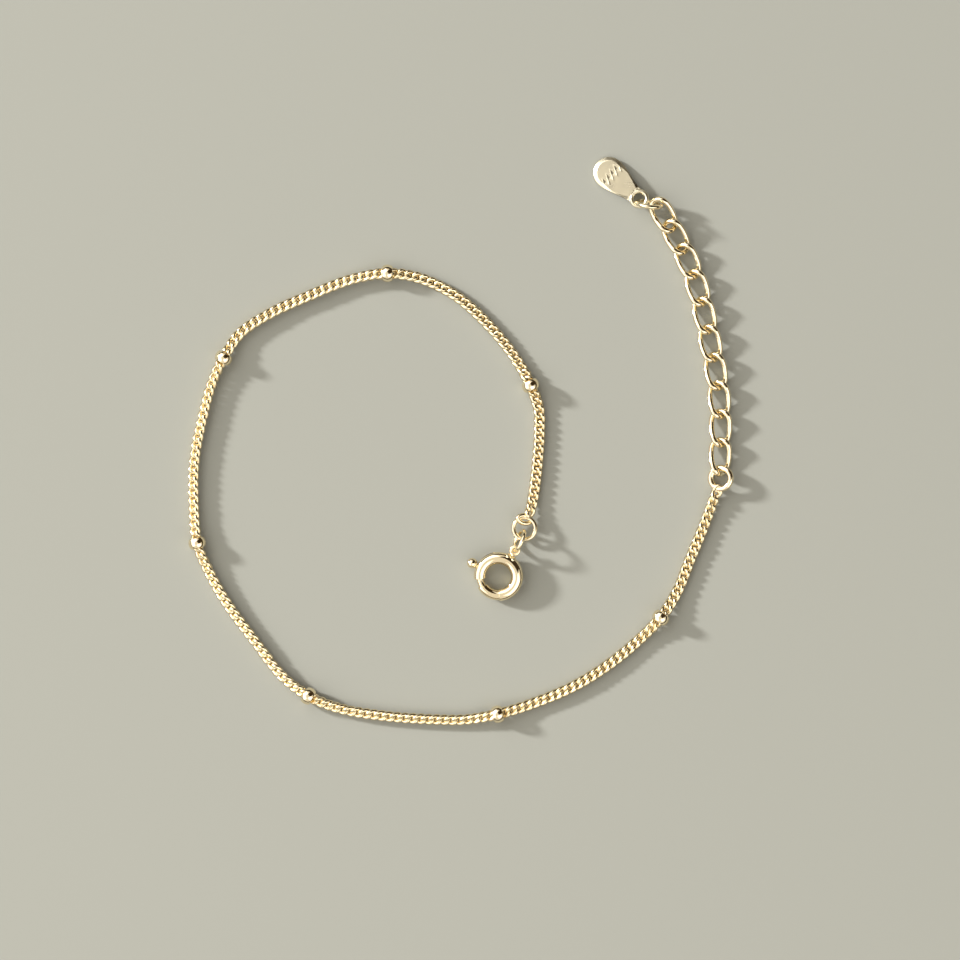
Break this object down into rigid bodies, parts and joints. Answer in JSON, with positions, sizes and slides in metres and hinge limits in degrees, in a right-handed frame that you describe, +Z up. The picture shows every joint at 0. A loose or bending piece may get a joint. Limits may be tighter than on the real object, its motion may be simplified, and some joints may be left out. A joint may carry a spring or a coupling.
{
  "type": "bracelet",
  "caption": "Fine gold-toned curb chain bracelet with small round beads, a spring-ring clasp, and a link extender that ends in a drop-shaped tag, laid open in a loose spiral.",
  "frame": {"origin": "on the table under the middle of the laid-out bracelet's box", "axes": "+Z up from the table; +Y along the longer way across the spiral, towards the free end's tag; +X completes the right-handed frame, towards the end ring"},
  "size_m": [0.0599, 0.0623, 0.003],
  "materials": {
    "polished_gold": "polished pale gold plating over silver",
    "chain_gold": "polished pale gold plating over silver curb links",
    "satin_gold": "satin pale gold plating with polished bevels"
  },
  "bodies": {
    "bracelet": {"clasp_housing": "polished_gold", "clasp_link": "polished_gold", "jump_ring": "polished_gold", "chain_run_1": "chain_gold", "chain_run_2": "chain_gold", "chain_run_3": "chain_gold", "chain_run_4": "chain_gold", "chain_run_5": "chain_gold", "chain_run_6": "chain_gold", "chain_run_7": "chain_gold", "chain_run_8": "chain_gold", "bead_1": "polished_gold", "bead_2": "polished_gold", "bead_3": "polished_gold", "bead_4": "polished_gold", "bead_5": "polished_gold", "bead_6": "polished_gold", "bead_7": "polished_gold", "end_ring": "polished_gold", "extender_link_1": "polished_gold", "extender_link_2": "polished_gold", "extender_link_3": "polished_gold", "extender_link_4": "polished_gold", "extender_link_5": "polished_gold", "extender_link_6": "polished_gold", "extender_link_7": "polished_gold", "extender_link_8": "polished_gold", "extender_link_9": "polished_gold", "extender_link_10": "polished_gold", "tag_ring": "polished_gold", "tag": "satin_gold"},
    "bolt": {"clasp_bolt": "polished_gold"}
  },
  "joints": [
    {"name": "bolt_draw", "type": "hinge", "parent": "bracelet", "child": "bolt", "pos_m": [0.00408, -0.01488, 0.00097], "axis": [0.0742, 0.1178, -0.9903], "range_deg": [0, 48], "stiffness_Nm_per_rad": 0.0008, "springref_deg": -28.65}
  ]
}
